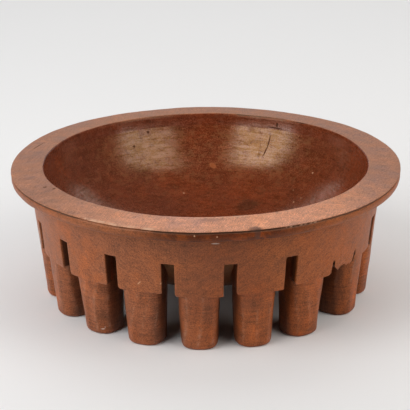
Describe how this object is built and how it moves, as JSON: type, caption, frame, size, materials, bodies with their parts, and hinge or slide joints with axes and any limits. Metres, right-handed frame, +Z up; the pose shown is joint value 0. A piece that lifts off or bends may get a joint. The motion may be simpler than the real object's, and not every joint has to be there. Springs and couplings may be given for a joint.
{
  "type": "kava bowl",
  "caption": "Round kava bowl carved from reddish-brown hardwood: a broad flat rim, a polished dish and a slotted skirt, standing on a ring of stout round legs.",
  "frame": {"origin": "centre of the ring of feet, on the floor", "axes": "+Z up along the axis of the dish; -Y is the front that the picture shows; +X is the right of the picture"},
  "size_m": [0.45, 0.45, 0.153],
  "materials": {
    "rim_wood": "satin, worn smooth by hands",
    "dish_wood": "polished, darker from use",
    "skirt_wood": "satin, with fine scraping marks",
    "leg_wood": "satin, with the grain running across"
  },
  "bodies": {
    "root": {"rim": "rim_wood", "bowl": "dish_wood", "skirt": "skirt_wood", "leg_01": "leg_wood", "leg_02": "leg_wood", "leg_03": "leg_wood", "leg_04": "leg_wood", "leg_05": "leg_wood", "leg_06": "leg_wood", "leg_07": "leg_wood", "leg_08": "leg_wood", "leg_09": "leg_wood", "leg_10": "leg_wood", "leg_11": "leg_wood", "leg_12": "leg_wood", "leg_13": "leg_wood", "leg_14": "leg_wood", "leg_15": "leg_wood", "leg_16": "leg_wood", "leg_17": "leg_wood", "leg_18": "leg_wood"}
  },
  "joints": []
}
